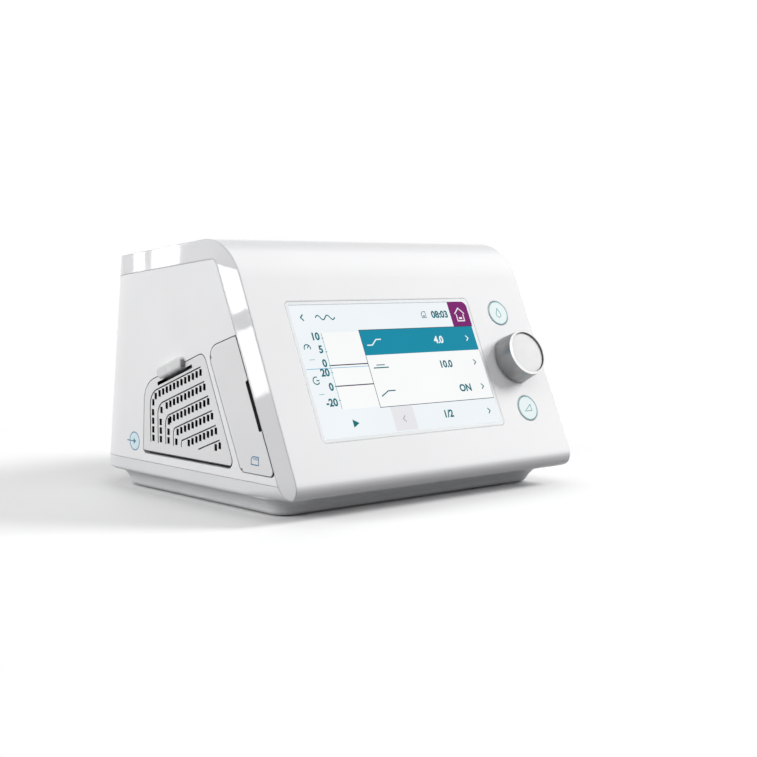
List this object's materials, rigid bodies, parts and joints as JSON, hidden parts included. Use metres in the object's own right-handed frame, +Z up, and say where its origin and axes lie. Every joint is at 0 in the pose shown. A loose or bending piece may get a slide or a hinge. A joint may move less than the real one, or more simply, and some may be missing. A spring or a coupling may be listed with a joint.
{
  "type": "cpap machine",
  "caption": "Bedside CPAP machine: sloped fascia with touch display, push-and-turn knob and keys, slotted filter door, card door, rear air outlet.",
  "frame": {"origin": "on the table, in the middle of the case's width, 76 mm behind the foot of the fascia", "axes": "+X right seen from the front, -Y towards the user, +Z up"},
  "size_m": [0.1789, 0.184, 0.1187],
  "materials": {
    "case_white": "gloss",
    "panel_white": "satin",
    "lower_white": "satin",
    "knob_metal": "satin",
    "knob_cap": "satin",
    "key_mint": "satin",
    "lens": "gloss",
    "lcd": "gloss",
    "abs_black": "matte",
    "abs_grey": "matte",
    "rubber_grey": "matte",
    "silicone": "matte",
    "foam": "open-cell foam",
    "pcb_green": "solder mask",
    "steel": "zinc plated",
    "magnet": "sintered",
    "card_blue": "matte"
  },
  "bodies": {
    "case": {"bearing_lower": "steel", "bearing_upper": "steel", "blower_grommets": "silicone", "blower_lower": "abs_grey", "blower_upper": "abs_grey", "board_parts": "abs_black", "board_screws": "steel", "card_bay": "abs_black", "card_socket": "steel", "case_screws": "steel", "chassis": "abs_grey", "chassis_screws": "steel", "dc_jack": "abs_black", "display_bracket": "steel", "display_cable": "silicone", "encoder_body": "abs_grey", "filter_foam": "foam", "filter_tray": "abs_black", "flow_sensor": "abs_black", "front_board": "pcb_green", "front_screws": "steel", "front_shell": "case_white", "inlet_duct": "silicone", "key_return_pad": "silicone", "key_switches": "abs_black", "lcd_panel": "lcd", "lower_case": "lower_white", "main_board": "pcb_green", "motor_cap": "abs_grey", "muffler_box": "abs_grey", "muffler_foam": "foam", "muffler_lid": "abs_grey", "outlet_bellows": "silicone", "outlet_port": "abs_grey", "outlet_seal": "silicone", "rear_shell": "panel_white", "rubber_foot_front_left": "rubber_grey", "rubber_foot_front_right": "rubber_grey", "rubber_foot_rear_left": "rubber_grey", "rubber_foot_rear_right": "rubber_grey", "stator": "magnet", "touch_lens": "lens"},
    "encoder_plunger": {"encoder_plunger": "steel"},
    "knob": {"knob_body": "knob_metal", "knob_cap": "knob_cap", "encoder_shaft": "steel"},
    "key_humidity": {"key_humidity": "key_mint"},
    "key_ramp": {"key_ramp": "key_mint"},
    "filter_door": {"filter_door": "panel_white", "filter_door_pins": "steel"},
    "filter_latch": {"filter_latch": "panel_white"},
    "card_door": {"card_door": "panel_white", "card_door_pins": "steel"},
    "memory_card": {"memory_card": "card_blue"},
    "rotor": {"impeller": "abs_grey", "motor_shaft": "steel", "rotor_magnet": "magnet"}
  },
  "joints": [
    {"name": "knob_push", "type": "slide", "parent": "case", "child": "encoder_plunger", "axis": [0, 0.913, -0.408], "range_m": [0, 0.0006], "stiffness_N_per_m": 1500, "springref_m": -0.0006},
    {"name": "knob_spin", "type": "hinge", "parent": "encoder_plunger", "child": "knob", "pos_m": [0.06455, -0.0524, 0.06113], "axis": [0, -0.913, 0.408], "continuous": true},
    {"name": "key_humidity_press", "type": "slide", "parent": "case", "child": "key_humidity", "axis": [0, 0.913, -0.408], "range_m": [0, 0.0008], "stiffness_N_per_m": 900, "springref_m": -0.0005},
    {"name": "key_ramp_press", "type": "slide", "parent": "case", "child": "key_ramp", "axis": [0, 0.913, -0.408], "range_m": [0, 0.0008], "stiffness_N_per_m": 900, "springref_m": -0.0005},
    {"name": "filter_door_hinge", "type": "hinge", "parent": "case", "child": "filter_door", "pos_m": [-0.0868, 0, 0.0214], "axis": [0, -1, 0], "range_deg": [0, 70]},
    {"name": "filter_latch_slide", "type": "slide", "parent": "filter_door", "child": "filter_latch", "axis": [0, -0.3223, -0.9466], "range_m": [0, 0.0012], "stiffness_N_per_m": 600, "springref_m": -0.0005},
    {"name": "card_door_hinge", "type": "hinge", "parent": "case", "child": "card_door", "pos_m": [-0.0874, -0.026, 0.04538], "axis": [0, -0.4368, -0.8996], "range_deg": [0, 95]},
    {"name": "memory_card_slide", "type": "slide", "parent": "case", "child": "memory_card", "axis": [-1, 0, 0], "range_m": [-0.0008, 0.002]},
    {"name": "rotor_spin", "type": "hinge", "parent": "case", "child": "rotor", "pos_m": [0.022, 0.022, 0.054], "axis": [0, 0, 1], "continuous": true}
  ]
}
